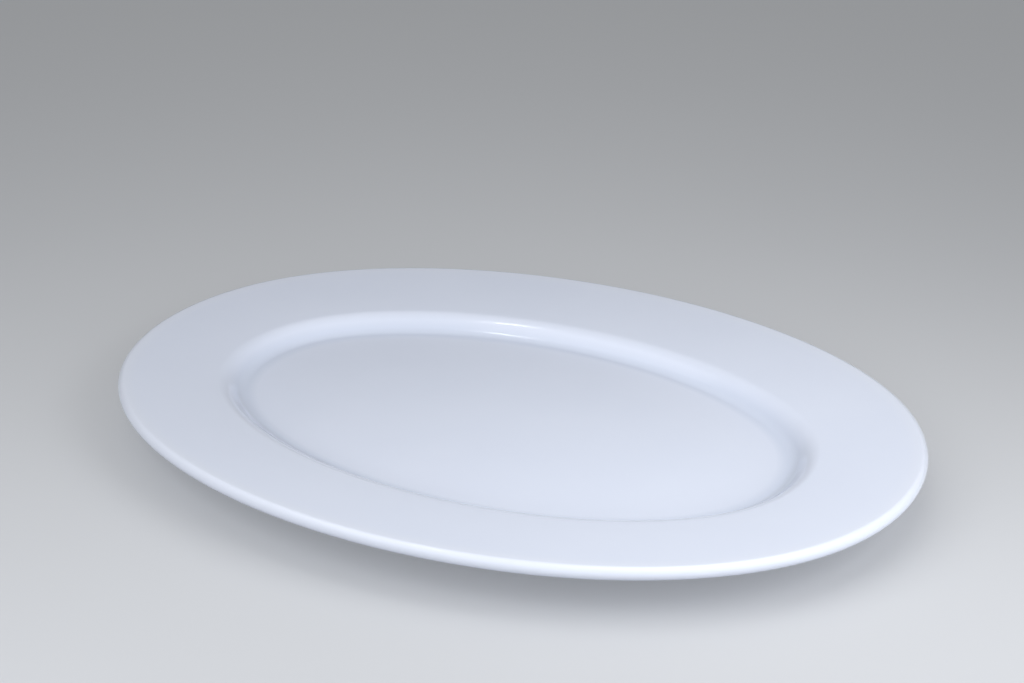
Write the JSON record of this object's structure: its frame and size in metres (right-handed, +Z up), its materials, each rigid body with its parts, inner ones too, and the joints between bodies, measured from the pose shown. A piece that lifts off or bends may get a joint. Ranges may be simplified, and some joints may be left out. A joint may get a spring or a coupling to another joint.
{
  "type": "oval serving platter",
  "caption": "Oval serving platter in white glazed porcelain: flat well, short sloping wall, wide plain rim, rounded lip and a dry foot ring underneath.",
  "frame": {"origin": "on the table that the foot ring stands on, under the middle of the well", "axes": "+X along the platter's length, +Y across it, +Z up out of the well"},
  "size_m": [0.36, 0.26, 0.0227],
  "materials": {
    "biscuit_porcelain": "matt, unglazed, slightly warm white",
    "white_glaze": "glossy clear glaze on white, slightly cool"
  },
  "bodies": {
    "root": {"porcelain_body": "biscuit_porcelain", "glaze_top_coat": "white_glaze", "glaze_base_coat": "white_glaze"}
  },
  "joints": []
}
